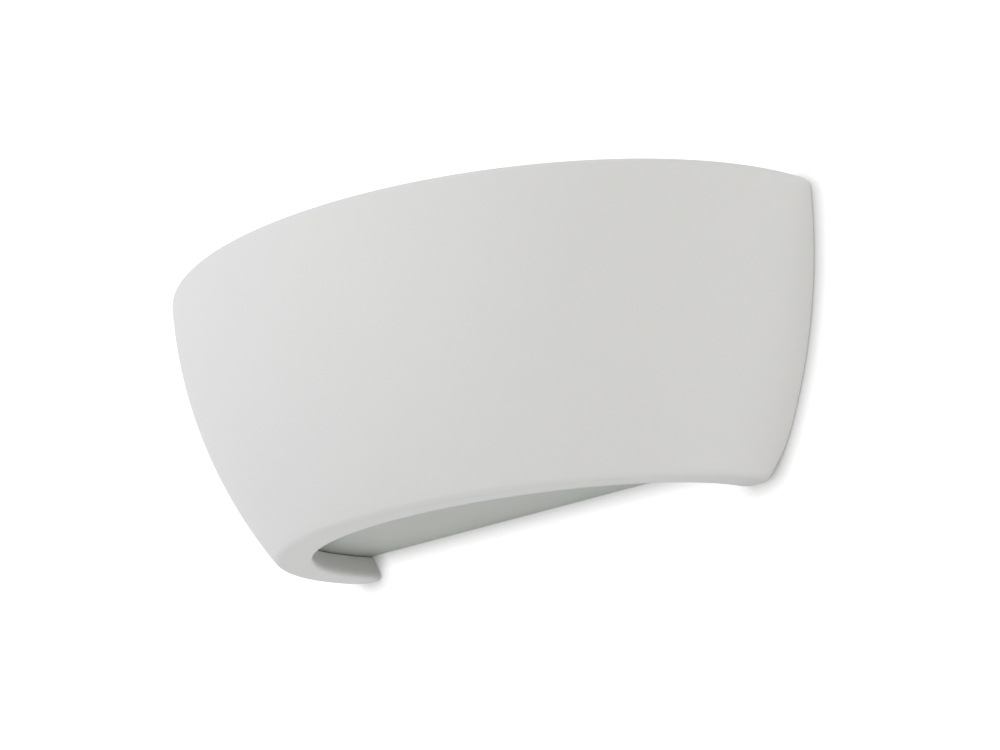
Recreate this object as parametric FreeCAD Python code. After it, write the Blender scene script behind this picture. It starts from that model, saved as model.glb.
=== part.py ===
"""Uplighter wall sconce: a cast plaster bowl hung on a steel wall plate, round a linear lamp.

Millimetres. +X runs right along the wall, the wall is the plane Y = 0, the room is towards -Y and +Z is up.
The origin is the middle of the two wall screws, on the wall.
"""

import FreeCAD, Part
import math
import os

V = FreeCAD.Vector

# ---- Plaster shell: half-oval in plan, and a round arc in profile that stands upright at the top rim ----
shell_width = 310.0
shell_depth = 150.0
shell_height = 114.5
side_profile_radius = 213.0
front_profile_radius = 178.0
oval_power = 2.0
side_return = 9.0
base_wall = 16.8
upper_wall = 12.0
base_edge_round = 2.0
rim_edge_round = 3.0
inner_edge_round = 1.2
plan_step_count = 24
wall_section_count = 7
round_section_count = 5
pane_seat_height = 11.1
screw_line_height = 68.0

# ---- Frosted pane, on small soft pads on the shell's ledge ----
pane_thickness = 4.0
pane_edge_clearance = 0.8
pane_wall_gap = 1.0
pad_radius = 1.3
pad_thickness = 0.6
pad_angles = (18.0, 54.0, 90.0, 126.0, 162.0)

# ---- Wall plate ----
sheet = 1.5
plate_half_height = 20.0
plate_half_span = 118.0
plate_step_start = 92.0
plate_step_forward = 6.0
plate_step_run = 6.0
bend_inside_radius = 1.0
hook_width = 12.0
hook_height = 12.0
hook_tip_round = 4.0
wall_screw_spacing = 168.0
wall_slot_width = 5.5
wall_slot_length = 12.0

# ---- Hangers cast into the shell ----
hanger_thickness = 2.0
hanger_inner_x = 90.0
hanger_front_y = -22.0
hanger_back_y = -2.0
hanger_embed = 8.0
hanger_slot_play = 0.75

# ---- Lamp ----
lamp_length = 117.6
lamp_y = -62.0
lamp_z = 10.0
tube_radius = 5.0
tube_wall = 0.8
tube_end_round = 2.0
cap_radius = 4.0
cap_length = 13.0
cap_recess_radius = 2.2
cap_recess_depth = 1.7
pinch_radius = 2.4
lamp_contact_thickness = 1.0
filament_radius = 0.6
filament_end_gap = 3.0
lamp_travel = 3.0

# ---- Ceramic lampholders ----
holder_length = 20.0
holder_width = 16.0
holder_height = 20.0
holder_edge_round = 1.5
lamp_insertion = 2.6
socket_radius = 4.7
fixed_socket_depth = 3.0
socket_end_play = 0.4
divider_thickness = 2.2
nose_radius = 1.75
nose_clearance = 0.08
chamber_radius = 3.7
flange_clearance = 0.1
flange_thickness = 1.5
plunger_reserve = 1.2
plunger_tail_radius = 1.5
plunger_tail_length = 2.8
contact_tail_radius = 2.5
seat_thickness = 1.5
disc_thickness = 1.0
spring_wire = 0.6
spring_mean_radius = 2.5
spring_turns = 4
spring_end_gap = 0.05
holder_screw_y = 5.3
holder_screw_drop = 6.0
holder_screw_reach = 5.0

# ---- Cradle, reflector and their rivets ----
cradle_width = 22.0
cradle_drop = 24.0
cheek_top_above_lamp = 9.0
arm_width = 24.0
arm_flange_top = 6.0
window_half_length = 30.0
window_width = 12.0
window_round = 3.0
reflector_sheet = 0.8
reflector_half_length = 54.0
reflector_half_width = 26.0
reflector_bend_radius = 14.0
reflector_back_top = 16.0
reflector_front_top = 4.0
rivet_radius = 1.55
rivet_head_radius = 3.0
rivet_head_height = 1.0
rivet_hole_clearance = 0.05
reflector_rivet_x = 46.0
cradle_rivet_x = 6.0
cradle_rivet_z = -4.0

# ---- Mains connector ----
block_way_x = (-61.0, -51.0, -41.0)
block_end_margin = 5.0
block_height = 18.0
block_depth = 13.0
block_z = -10.0
block_edge_round = 1.0
wire_depth_from_plate = 6.5
port_radius = 2.9
terminal_tube_radius = 2.75
terminal_tube_bore = 1.5
terminal_tube_length = 14.0
terminal_screw_radius = 1.3
terminal_screw_head_radius = 1.9
terminal_screw_offset = 4.5
terminal_screw_head_depth = 1.6
block_screw_well_depth = 2.2
block_screw_radius = 1.0
block_screw_head_radius = 1.7
block_screw_head_height = 1.2
part_clearance = 0.1

# ---- Cable grommet ----
grommet_x = -24.0
grommet_bore = 3.5
grommet_sleeve_radius = 5.0
grommet_flange_radius = 7.5
grommet_flange_thickness = 1.5

# ---- Earth point ----
earth_x = 34.0
earth_z = 4.0
stud_radius = 2.0
stud_length = 12.0
stud_collar_radius = 3.4
stud_collar_thickness = 1.0
ring_radius = 4.2
ring_thickness = 0.8
barrel_radius = 1.9
barrel_length = 7.0
nut_across_flats = 7.0
nut_height = 3.2

# ---- Sleeved internal leads ----
lead_radius = 1.1
lead_bore_clearance = 0.2
lead_strip_length = 6.0
lead_behind_reflector = 7.0

screw_radius = 1.5
screw_head_radius = 2.8
screw_head_height = 1.8

# ---- Places that follow from the sizes above ----
base_z = -screw_line_height
seat_z = base_z + pane_seat_height
pane_z = seat_z + pad_thickness
hook_shoulder_z = plate_half_height
holder_inner_x = lamp_length / 2 - lamp_insertion
holder_outer_x = holder_inner_x + holder_length
sprung_socket_depth = lamp_insertion + lamp_travel + socket_end_play
cradle_top_z = lamp_z - cradle_drop
nose_tip_u = lamp_insertion - cap_recess_depth
seat_u = holder_length - disc_thickness - seat_thickness
disc_u = holder_length - disc_thickness
wire_y = -sheet - wire_depth_from_plate
block_front_y = -sheet - block_depth
block_top_z = block_z + block_height / 2
clamp_seat_y = wire_y - terminal_tube_radius - part_clearance
hook_x = (plate_step_start + plate_step_run + plate_half_span) / 2


def write(shape, node):
    """Save one piece under its node name."""
    shape.exportStep("parts/" + node + ".step")
    print(node, len(shape.Solids), "solids,", round(shape.Volume, 2), "mm3, valid:", shape.isValid())


def place(plane, u, v, depth):
    """A point of a flat outline: (u, v) in the plane, depth across it."""
    if plane == "XY":
        return V(u, v, depth)
    if plane == "YZ":
        return V(depth, u, v)
    return V(u, depth, v)


def rounded_face(points, radii, plane, depth):
    """A flat face whose corners are rounded by tangent arcs, one radius a corner."""
    count = len(points)
    spots = [place(plane, point[0], point[1], depth) for point in points]
    corners = []
    for index, spot in enumerate(spots):
        before = (spots[index - 1] - spot).normalize()
        after = (spots[(index + 1) % count] - spot).normalize()
        half_angle = before.getAngle(after) / 2
        radius = radii[index]
        if radius <= 0:
            corners.append((spot, None, spot))
            continue
        reach = radius / math.tan(half_angle)
        middle = spot + (before + after).normalize() * (radius / math.sin(half_angle) - radius)
        corners.append((spot + before * reach, middle, spot + after * reach))
    edges = []
    for index, (start, middle, end) in enumerate(corners):
        if middle is not None:
            edges.append(Part.Arc(start, middle, end).toShape())
        following = corners[(index + 1) % count][0]
        if end.distanceToPoint(following) > 1e-6:
            edges.append(Part.LineSegment(end, following).toShape())
    return Part.Face(Part.Wire(edges))


def prism(points, radii, plane, start, end):
    """A flat outline with rounded corners, extruded across its plane from start to end."""
    if not isinstance(radii, (list, tuple)):
        radii = [radii] * len(points)
    face = rounded_face(points, radii, plane, start)
    return face.extrude(place(plane, 0, 0, end - start))


def rectangle(u_low, u_high, v_low, v_high):
    return [(u_low, v_low), (u_high, v_low), (u_high, v_high), (u_low, v_high)]


def folded_sheet(path, thickness, inside_radius, plane, start, end):
    """Sheet metal bent along a path down its middle, each bend round one centre."""
    directions = []
    for first, second in zip(path, path[1:]):
        length = math.hypot(second[0] - first[0], second[1] - first[1])
        directions.append(((second[0] - first[0]) / length, (second[1] - first[1]) / length))
    sides = {1: [], -1: []}
    bends = {1: [], -1: []}
    for index, point in enumerate(path):
        into = directions[max(index - 1, 0)]
        out = directions[min(index, len(directions) - 1)]
        turn = into[0] * out[1] - into[1] * out[0]
        cosine = into[0] * out[0] + into[1] * out[1]
        for side in (1, -1):
            scale = side * thickness / 2 / (1 + cosine)
            sides[side].append((point[0] - (into[1] + out[1]) * scale, point[1] + (into[0] + out[0]) * scale))
            if abs(turn) < 1e-9:
                bends[side].append(0.0)
            else:
                inner = turn * side > 0
                bends[side].append(inside_radius if inner else inside_radius + thickness)
    points = sides[1] + sides[-1][::-1]
    radii = bends[1] + bends[-1][::-1]
    return prism(points, radii, plane, start, end)


def rod(radius, start, end):
    """A round bar from one point to another."""
    return Part.makeCylinder(radius, (end - start).Length, start, end - start)


def fuse_all(solids):
    return solids[0].multiFuse(solids[1:]).removeSplitter()


def cut_all(solid, tools):
    for tool in tools:
        solid = solid.cut(tool)
    return solid


def round_where(solid, radius, wanted):
    """Round the edges that the test picks out."""
    return solid.makeFillet(radius, [edge for edge in solid.Edges if wanted(edge)])


def mirrored(shape):
    return shape.mirror(V(0, 0, 0), V(1, 0, 0))


# ---- Plaster shell ----


def arc_drop(radius, below_rim):
    """How far a round arc of this radius, upright at the rim, has come in at a depth below the rim."""
    return radius - math.sqrt(radius * radius - below_rim * below_rim)


def outline_size(height, inset):
    """Half width and depth of the shell's plan at a height above its base, drawn in by an inset."""
    below_rim = shell_height - height
    half_width = shell_width / 2 - arc_drop(side_profile_radius, below_rim) - inset
    depth = shell_depth - arc_drop(front_profile_radius, below_rim) - inset
    return half_width, depth


def oval_point(half_width, depth, angle, z):
    """A point of the half-oval front, at an angle from the +X side."""
    power = 2 / oval_power
    across = math.copysign(abs(math.cos(angle)) ** power, math.cos(angle))
    forward = max(math.sin(angle), 0.0) ** power
    return V(half_width * across, -side_return - (depth - side_return) * forward, z)


def plan_wire(height, inset, back_y):
    """The shell's plan at one height: a half-oval front with short straight returns, and a straight back."""
    half_width, depth = outline_size(height, inset)
    z = base_z + height
    oval = [oval_point(half_width, depth, math.pi * step / plan_step_count, z)
            for step in range(plan_step_count + 1)]
    middle_y = (back_y - side_return) / 2
    right = [V(half_width, back_y, z), V(half_width, middle_y, z)]
    left = [V(-half_width, middle_y, z), V(-half_width, back_y, z)]
    front = Part.BSplineCurve()
    front.interpolate(Points=right + oval + left, InitialTangent=V(0, -1, 0), FinalTangent=V(0, 1, 0))
    return Part.Wire([front.toShape(), Part.LineSegment(left[-1], right[0]).toShape()])


def lofted_band(sections, back_y):
    """A solid through the shell's plans at pairs of height and inset."""
    return Part.makeLoft([plan_wire(height, inset, back_y) for height, inset in sections], True, False)


def straight_sections(low, high, inset):
    """Sections of one inset, evenly spaced between two heights."""
    step = (high - low) / (wall_section_count - 1)
    return [(low + step * index, inset) for index in range(wall_section_count)]


def quarter_sections(height, inset, radius, upward, inward):
    """Sections round an edge: from upright at (height, inset), turning level up or down, in or out."""
    sections = []
    for index in range(round_section_count):
        angle = math.pi / 2 * index / (round_section_count - 1)
        sections.append((height + upward * radius * math.sin(angle),
                         inset + inward * radius * (1 - math.cos(angle))))
    return sections


def shell_body():
    """Outside, less a hollow that is narrower under the ledge, and has both its open edges eased."""
    past = 3.0
    rim_start = shell_height - rim_edge_round
    outside = fuse_all([
        lofted_band(quarter_sections(base_edge_round, 0.0, base_edge_round, -1, 1), past),
        lofted_band(straight_sections(base_edge_round, rim_start, 0.0), past),
        lofted_band(quarter_sections(rim_start, 0.0, rim_edge_round, 1, 1), past),
    ])
    room_side = Part.makeBox(shell_width * 2, shell_depth * 2, shell_height * 2,
                             V(-shell_width, -shell_depth * 2, base_z - past))
    ease = inner_edge_round
    top_ease_start = shell_height - ease
    hollow = [
        lofted_band(straight_sections(pane_seat_height, top_ease_start, upper_wall), past * 2),
        lofted_band(straight_sections(ease, pane_seat_height, base_wall), past * 2),
        lofted_band(quarter_sections(ease, base_wall, ease, -1, -1), past * 2),
        lofted_band(quarter_sections(top_ease_start, upper_wall, ease, 1, -1), past * 2),
    ]
    return cut_all(outside.common(room_side), hollow)


def inner_half_width(height, inset):
    return outline_size(height, inset)[0]


def hanger():
    """Right-hand hanger: a flat plate from the hook into the shell's wall, with a slot for the hook."""
    wall_x = inner_half_width(hook_shoulder_z - base_z, upper_wall)
    plate = prism(rectangle(hanger_inner_x, wall_x + hanger_embed, hanger_front_y, hanger_back_y), 2.0,
                  "XY", hook_shoulder_z, hook_shoulder_z + hanger_thickness)
    slot_half = hook_width / 2 + hanger_slot_play
    hook_back_y = -plate_step_forward + hanger_slot_play
    hook_front_y = -plate_step_forward - sheet - hanger_slot_play
    slot = prism(rectangle(hook_x - slot_half, hook_x + slot_half, hook_front_y, hook_back_y), 0.5,
                 "XY", hook_shoulder_z - 1, hook_shoulder_z + hanger_thickness + 1)
    return plate.cut(slot)


def pad_places():
    """Where the soft pads sit: half way across the ledge."""
    inset = upper_wall + (base_wall - upper_wall) / 2
    half_width, depth = outline_size(pane_seat_height, inset)
    return [oval_point(half_width, depth, math.radians(angle), seat_z) for angle in pad_angles]


def pane_pads():
    up = V(0, 0, pad_thickness)
    return Part.makeCompound([rod(pad_radius, spot, spot + up) for spot in pad_places()])


def glass_pane():
    """D-shaped pane that follows the shell's hollow, with a straight back edge at the wall."""
    height = pane_z - base_z
    wire = plan_wire(height, upper_wall + pane_edge_clearance, -pane_wall_gap)
    return Part.Face(wire).extrude(V(0, 0, pane_thickness))


# ---- Wall plate ----


def wall_slot(x):
    half = wall_slot_length / 2
    outline = rectangle(x - half, x + half, -wall_slot_width / 2, wall_slot_width / 2)
    return prism(outline, wall_slot_width / 2 - 1e-4, "XZ", -sheet - 1, 1)


def wall_plate():
    """Steel strip, stepped forward at both ends, each end with a hook tongue."""
    middle = sheet / 2
    half_path = [(plate_step_start, -middle),
                 (plate_step_start + plate_step_run, -plate_step_forward - middle),
                 (plate_half_span, -plate_step_forward - middle)]
    path = [(-x, y) for x, y in half_path[::-1]] + half_path
    blank = folded_sheet(path, sheet, bend_inside_radius, "XY", -plate_half_height,
                         plate_half_height + hook_height)
    keep = [prism(rectangle(-plate_half_span - 1, plate_half_span + 1, -plate_half_height, plate_half_height),
                  0, "XZ", -plate_half_height, 1)]
    for side in (-1, 1):
        tongue = prism(rectangle(side * hook_x - hook_width / 2, side * hook_x + hook_width / 2,
                                 0, plate_half_height + hook_height),
                       [0, 0, hook_tip_round, hook_tip_round], "XZ", -plate_half_height, 1)
        keep.append(tongue)
    plate = blank.common(fuse_all(keep))
    tools = [wall_slot(-wall_screw_spacing / 2), wall_slot(wall_screw_spacing / 2)]
    through = V(0, sheet + 2, 0)

    def hole(radius, x, z):
        start = V(x, -sheet - 1, z)
        return rod(radius, start, start + through)
    tools.append(hole(grommet_sleeve_radius + part_clearance, grommet_x, 0))
    tools.append(hole(stud_radius + rivet_hole_clearance, earth_x, earth_z))
    for side in (-1, 1):
        tools.append(hole(rivet_radius + rivet_hole_clearance, side * cradle_rivet_x, cradle_rivet_z))
    for x in block_screw_x():
        tools.append(hole(block_screw_radius + rivet_hole_clearance, x, block_z))
    return cut_all(plate, tools)


# ---- Lampholders and contacts. u runs along the lamp, from a holder's inner face outwards ----


def along_lamp(side, u, y=lamp_y, z=lamp_z):
    return V(side * (holder_inner_x + u), y, z)


def lamp_rod(side, radius, u_start, u_end):
    return rod(radius, along_lamp(side, u_start), along_lamp(side, u_end))


def holder_screw_spots():
    return [(lamp_y + sign * holder_screw_y, lamp_z - holder_screw_drop) for sign in (-1, 1)]


def lead_u(side):
    """Where a lead comes in: at the fixed contact's tail, or at the sprung contact's seat."""
    if side < 0:
        return (fixed_socket_depth + divider_thickness + disc_u) / 2
    return seat_u + seat_thickness / 2


def holder(side, socket_depth):
    x_low, x_high = sorted((side * holder_inner_x, side * holder_outer_x))
    body = prism(rectangle(lamp_y - holder_width / 2, lamp_y + holder_width / 2,
                           lamp_z - holder_height / 2, lamp_z + holder_height / 2),
                 holder_edge_round, "YZ", x_low, x_high)
    over = 1.0
    tools = [lamp_rod(side, socket_radius, -over, socket_depth),
             lamp_rod(side, nose_radius + nose_clearance, 0, holder_length),
             lamp_rod(side, chamber_radius, socket_depth + divider_thickness, holder_length + over)]
    wall_side = V(0, holder_width / 2 + over, 0)
    entry = along_lamp(side, lead_u(side))
    tools.append(rod(lead_radius + lead_bore_clearance, entry, entry + wall_side))
    for y, z in holder_screw_spots():
        tools.append(rod(screw_radius + rivet_hole_clearance,
                         along_lamp(side, holder_length + over, y, z),
                         along_lamp(side, holder_length - holder_screw_reach - over, y, z)))
    return cut_all(body, tools)


def fixed_contact():
    """Brass contact of the left holder: a nose, a flange behind the divider and a tail."""
    side = -1
    flange_u = fixed_socket_depth + divider_thickness
    return fuse_all([lamp_rod(side, nose_radius, nose_tip_u, flange_u + flange_thickness / 2),
                     lamp_rod(side, chamber_radius - flange_clearance, flange_u, flange_u + flange_thickness),
                     lamp_rod(side, contact_tail_radius, flange_u + flange_thickness / 2, disc_u)])


plunger_flange_u = sprung_socket_depth + divider_thickness + plunger_reserve
spring_start_u = plunger_flange_u + flange_thickness


def contact_plunger():
    """Sprung contact of the right holder."""
    side = 1
    return fuse_all([lamp_rod(side, nose_radius, nose_tip_u, plunger_flange_u + flange_thickness / 2),
                     lamp_rod(side, chamber_radius - flange_clearance, plunger_flange_u, spring_start_u),
                     lamp_rod(side, plunger_tail_radius, plunger_flange_u + flange_thickness / 2,
                              spring_start_u + plunger_tail_length)])


def arc_leaving(start, direction, end):
    """The arc from start to end that leaves along a direction."""
    chord = end - start
    along = chord * (1 / chord.Length)
    sideways = direction - along * direction.dot(along)
    middle = start + chord * 0.5
    if sideways.Length > 1e-9:
        bulge = chord.Length / 2 * math.tan(direction.getAngle(chord) / 2)
        middle += sideways.normalize() * bulge
    return Part.Arc(start, middle, end).toShape()


def biarc(start, start_direction, end, end_direction):
    """Two tangent arcs that join two points and their directions."""
    span = end - start
    both = start_direction + end_direction
    spread = 2 * (1 - start_direction.dot(end_direction))
    lean = span.dot(both)
    reach = (math.sqrt(lean ** 2 + spread * span.dot(span)) - lean) / spread
    joint = (start + start_direction * reach + end - end_direction * reach) * 0.5
    turned = joint_direction(start, start_direction, joint)
    return [arc_leaving(start, start_direction, joint), arc_leaving(joint, turned, end)]


def joint_direction(start, direction, end):
    """The direction in which an arc that left along a direction arrives."""
    along = (end - start).normalize()
    return along * (2 * direction.dot(along)) - direction


def contact_spring():
    """Coil spring between the plunger's flange and its seat, each quarter turn two tangent arcs."""
    rise = seat_u - spring_start_u - 2 * spring_end_gap - spring_wire
    start = along_lamp(1, spring_start_u + spring_end_gap + spring_wire / 2)
    quarter = math.pi / 2
    climb = rise / (spring_turns * 4)
    spots = []
    for step in range(spring_turns * 4 + 1):
        across = V(0, math.cos(quarter * step), math.sin(quarter * step)) * spring_mean_radius
        round_it = V(0, -math.sin(quarter * step), math.cos(quarter * step)) * (spring_mean_radius * quarter)
        spots.append((start + V(climb * step, 0, 0) + across, (V(climb, 0, 0) + round_it).normalize()))
    arcs = []
    for (here, leaving), (there, arriving) in zip(spots, spots[1:]):
        arcs += biarc(here, leaving, there, arriving)
    circle = Part.Wire(Part.makeCircle(spring_wire / 2, *spots[0]))
    return Part.Wire(arcs).makePipeShell([circle], True, False)


def spring_seat():
    return lamp_rod(1, chamber_radius - part_clearance, seat_u, disc_u)


def insulating_discs():
    return Part.makeCompound([lamp_rod(side, chamber_radius - part_clearance, disc_u, holder_length)
                              for side in (-1, 1)])


def screw_with_head(tip, seat, outward, radius, head_radius, head_height):
    """A plain screw: shank from tip to seat, with a round head standing outward of the seat."""
    shank = rod(radius, tip, seat + outward * (head_height / 2))
    head = rod(head_radius, seat, seat + outward * head_height)
    return fuse_all([shank, head])


def holder_screws():
    screws = []
    for side in (-1, 1):
        for y, z in holder_screw_spots():
            tip = along_lamp(side, holder_length - holder_screw_reach, y, z)
            seat = along_lamp(side, holder_length + sheet, y, z)
            screws.append(screw_with_head(tip, seat, V(side, 0, 0), screw_radius,
                                          screw_head_radius, screw_head_height))
    return Part.makeCompound(screws)


# ---- Linear lamp ----


def tube_half_length():
    return lamp_length / 2 - cap_length


def lamp_tube():
    """Quartz tube, with a flat pinch at each end that runs inside the cap."""
    half = tube_half_length()
    outer = rod(tube_radius, V(-half, lamp_y, lamp_z), V(half, lamp_y, lamp_z))
    outer = round_where(outer, tube_end_round, lambda edge: edge.Curve.TypeId == "Part::GeomCircle")
    bore_half = half - tube_wall * 2
    bore = rod(tube_radius - tube_wall, V(-bore_half, lamp_y, lamp_z), V(bore_half, lamp_y, lamp_z))
    pinch_half = half + cap_length / 2
    pinches = [rod(pinch_radius, V(side * (half - tube_wall), lamp_y, lamp_z),
                   V(side * pinch_half, lamp_y, lamp_z)) for side in (-1, 1)]
    return fuse_all([outer] + pinches).cut(bore)


def lamp_cap(side):
    """Ceramic end cap, bored for the pinch and recessed for the contact."""
    inner = tube_half_length()
    outer = lamp_length / 2
    cap = rod(cap_radius, V(side * inner, lamp_y, lamp_z), V(side * outer, lamp_y, lamp_z))
    pinch = rod(pinch_radius + part_clearance, V(side * (inner - 1), lamp_y, lamp_z),
                V(side * (inner + cap_length / 2 + part_clearance), lamp_y, lamp_z))
    recess_depth = cap_recess_depth + lamp_contact_thickness
    recess = rod(cap_recess_radius, V(side * (outer + 1), lamp_y, lamp_z),
                 V(side * (outer - recess_depth), lamp_y, lamp_z))
    return cut_all(cap, [pinch, recess])


def lamp_contacts():
    """A metal disc at the bottom of each cap's recess."""
    face = lamp_length / 2 - cap_recess_depth
    discs = [rod(cap_recess_radius - part_clearance / 2, V(side * face, lamp_y, lamp_z),
                 V(side * (face - lamp_contact_thickness), lamp_y, lamp_z)) for side in (-1, 1)]
    return Part.makeCompound(discs)


def lamp_filament():
    """The coiled wire as one slim bar, with a support disc at each end that rests in the tube."""
    end = tube_half_length() - tube_wall * 2
    bar = rod(filament_radius, V(-end, lamp_y, lamp_z), V(end, lamp_y, lamp_z))
    support_radius = tube_radius - tube_wall - part_clearance
    supports = [rod(support_radius, V(x, lamp_y, lamp_z), V(x + filament_radius, lamp_y, lamp_z))
                for x in (-end + filament_end_gap, 0, end - filament_end_gap)]
    return fuse_all([bar] + supports)


# ---- Cradle and reflector ----


def light_window(low_z, high_z):
    """The slot that lets some light down to the pane, through reflector and cradle alike."""
    outline = rectangle(-window_half_length, window_half_length,
                        lamp_y - window_width / 2, lamp_y + window_width / 2)
    return prism(outline, window_round, "XY", low_z, high_z)


def lamp_cradle():
    """Bent steel carrier: a strip with two cheeks, and an arm back to a flange on the wall plate."""
    middle_z = cradle_top_z - sheet / 2
    cheek_x = holder_outer_x + sheet / 2
    cheek_top = lamp_z + cheek_top_above_lamp
    front_y = lamp_y - cradle_width / 2
    back_y = lamp_y + cradle_width / 2
    strip_path = [(-cheek_x, cheek_top), (-cheek_x, middle_z), (cheek_x, middle_z), (cheek_x, cheek_top)]
    strip = folded_sheet(strip_path, sheet, bend_inside_radius, "XZ", front_y, back_y)
    flange_y = -sheet - sheet / 2
    arm_path = [(back_y - sheet, middle_z), (flange_y, middle_z), (flange_y, arm_flange_top)]
    arm = folded_sheet(arm_path, sheet, bend_inside_radius, "YZ", -arm_width / 2, arm_width / 2)
    cradle = fuse_all([strip, arm])
    tools = [light_window(cradle_top_z - sheet - 1, cradle_top_z + 1)]
    down = V(0, 0, -sheet - 2)
    for side in (-1, 1):
        start = V(side * reflector_rivet_x, lamp_y, cradle_top_z + 1)
        tools.append(rod(rivet_radius + rivet_hole_clearance, start, start + down))
        start = V(side * cradle_rivet_x, -sheet * 2 - 1, cradle_rivet_z)
        tools.append(rod(rivet_radius + rivet_hole_clearance, start, start + V(0, sheet + 2, 0)))
        for y, z in holder_screw_spots():
            tools.append(rod(screw_radius + rivet_hole_clearance,
                             along_lamp(side, holder_length - 1, y, z),
                             along_lamp(side, holder_length + sheet + 1, y, z)))
    return cut_all(cradle, tools)


def reflector():
    """Aluminium trough, rounded at both lower corners, higher towards the wall."""
    middle_z = cradle_top_z + reflector_sheet / 2
    front_y = lamp_y - reflector_half_width
    back_y = lamp_y + reflector_half_width
    trough = folded_sheet([(front_y, reflector_front_top), (front_y, middle_z), (back_y, middle_z),
                           (back_y, reflector_back_top)], reflector_sheet, reflector_bend_radius,
                          "YZ", -reflector_half_length, reflector_half_length)
    tools = [light_window(cradle_top_z - 1, cradle_top_z + reflector_sheet + 1)]
    for side in (-1, 1):
        start = V(side * reflector_rivet_x, lamp_y, cradle_top_z - 1)
        tools.append(rod(rivet_radius + rivet_hole_clearance, start, start + V(0, 0, reflector_sheet + 2)))
    return cut_all(trough, tools)


def reflector_rivets():
    """One rivet at each end of the reflector, with a head above and below."""
    rivets = []
    for side in (-1, 1):
        top = V(side * reflector_rivet_x, lamp_y, cradle_top_z + reflector_sheet)
        bottom = V(side * reflector_rivet_x, lamp_y, cradle_top_z - sheet)
        head = V(0, 0, rivet_head_height)
        rivets.append(fuse_all([rod(rivet_radius, bottom, top), rod(rivet_head_radius, top, top + head),
                                rod(rivet_head_radius, bottom - head, bottom)]))
    return Part.makeCompound(rivets)


def cradle_rivets():
    """Two rivets that hold the cradle's flange, set flush at the wall."""
    rivets = []
    for side in (-1, 1):
        flush = V(side * cradle_rivet_x, 0, cradle_rivet_z)
        seat = V(side * cradle_rivet_x, -sheet * 2, cradle_rivet_z)
        rivets.append(screw_with_head(flush, seat, V(0, -1, 0), rivet_radius,
                                      rivet_head_radius, rivet_head_height))
    return Part.makeCompound(rivets)


# ---- Mains connector ----


def block_screw_x():
    return [(first + second) / 2 for first, second in zip(block_way_x, block_way_x[1:])]


def terminal_screw_z():
    return (block_z - terminal_screw_offset, block_z + terminal_screw_offset)


def terminal_block():
    """Three-way connector body, bored from top to bottom, with a screw well over each clamp."""
    body = prism(rectangle(block_way_x[0] - block_end_margin, block_way_x[-1] + block_end_margin,
                           block_z - block_height / 2, block_top_z),
                 block_edge_round, "XZ", block_front_y, -sheet)
    tools = []
    for x in block_way_x:
        below = V(x, wire_y, block_z - block_height)
        above = V(x, wire_y, block_z + block_height)
        tools.append(rod(port_radius, below, above))
        for z in terminal_screw_z():
            tools.append(rod(terminal_screw_head_radius + part_clearance,
                             V(x, block_front_y - 1, z), V(x, wire_y, z)))
    for x in block_screw_x():
        tools.append(rod(block_screw_radius + part_clearance,
                         V(x, block_front_y - 1, block_z), V(x, 1, block_z)))
        tools.append(rod(block_screw_head_radius + part_clearance, V(x, block_front_y - 1, block_z),
                         V(x, block_front_y + block_screw_well_depth, block_z)))
    return cut_all(body, tools)


def terminal_tubes():
    """A brass tube for each way, tapped for its two clamp screws."""
    tubes = []
    half = V(0, 0, terminal_tube_length / 2)
    for x in block_way_x:
        middle = V(x, wire_y, block_z)
        tube = rod(terminal_tube_radius, middle - half, middle + half)
        tools = [rod(terminal_tube_bore, middle - half * 2, middle + half * 2)]
        for z in terminal_screw_z():
            tools.append(rod(terminal_screw_radius + rivet_hole_clearance,
                             V(x, block_front_y, z), V(x, wire_y, z)))
        tubes.append(cut_all(tube, tools))
    return Part.makeCompound(tubes)


def terminal_screws():
    """Clamp screws, two a way: the upper ones hold the leads, and the lower ones wait for the mains."""
    screws = []
    tip_y = wire_y - lead_radius - part_clearance
    for x in block_way_x:
        for z in terminal_screw_z():
            seat = V(x, clamp_seat_y, z)
            screws.append(screw_with_head(V(x, tip_y, z), seat, V(0, -1, 0), terminal_screw_radius,
                                          terminal_screw_head_radius, terminal_screw_head_depth))
    return Part.makeCompound(screws)


def block_screws():
    """Two small screws between the ways, into the wall plate."""
    screws = []
    for x in block_screw_x():
        seat = V(x, block_front_y + block_screw_well_depth, block_z)
        screws.append(screw_with_head(V(x, 0, block_z), seat, V(0, -1, 0), block_screw_radius,
                                      block_screw_head_radius, block_screw_head_height))
    return Part.makeCompound(screws)


def cable_grommet():
    """Bush that lines the cable hole, with its flange on the room side."""
    back = V(grommet_x, 0, 0)
    plate_front = V(grommet_x, -sheet, 0)
    flange_front = V(grommet_x, -sheet - grommet_flange_thickness, 0)
    flange = rod(grommet_flange_radius, plate_front, flange_front)
    flange = round_where(flange, grommet_flange_thickness / 2,
                         lambda edge: abs(edge.BoundBox.YMax - flange_front.y) < 1e-3)
    bush = fuse_all([rod(grommet_sleeve_radius, back, flange_front), flange])
    return bush.cut(rod(grommet_bore, back + V(0, 1, 0), flange_front - V(0, 1, 0)))


# ---- Earth point ----


def earth_layer(start, thickness):
    """Two points on the stud's axis, a distance off the wall and a thickness further out."""
    return V(earth_x, -start, earth_z), V(earth_x, -start - thickness, earth_z)


ring_back = sheet + stud_collar_thickness
nut_back = ring_back + ring_thickness
barrel_y = -ring_back - barrel_radius
barrel_x = earth_x - ring_radius - barrel_length


def earth_stud():
    collar_start, collar_end = earth_layer(sheet, stud_collar_thickness)
    shank_start, shank_end = earth_layer(0, stud_length)
    shank = rod(stud_radius, shank_start, shank_end)
    collar = rod(stud_collar_radius, collar_start, collar_end)
    return fuse_all([shank, collar])


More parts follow.
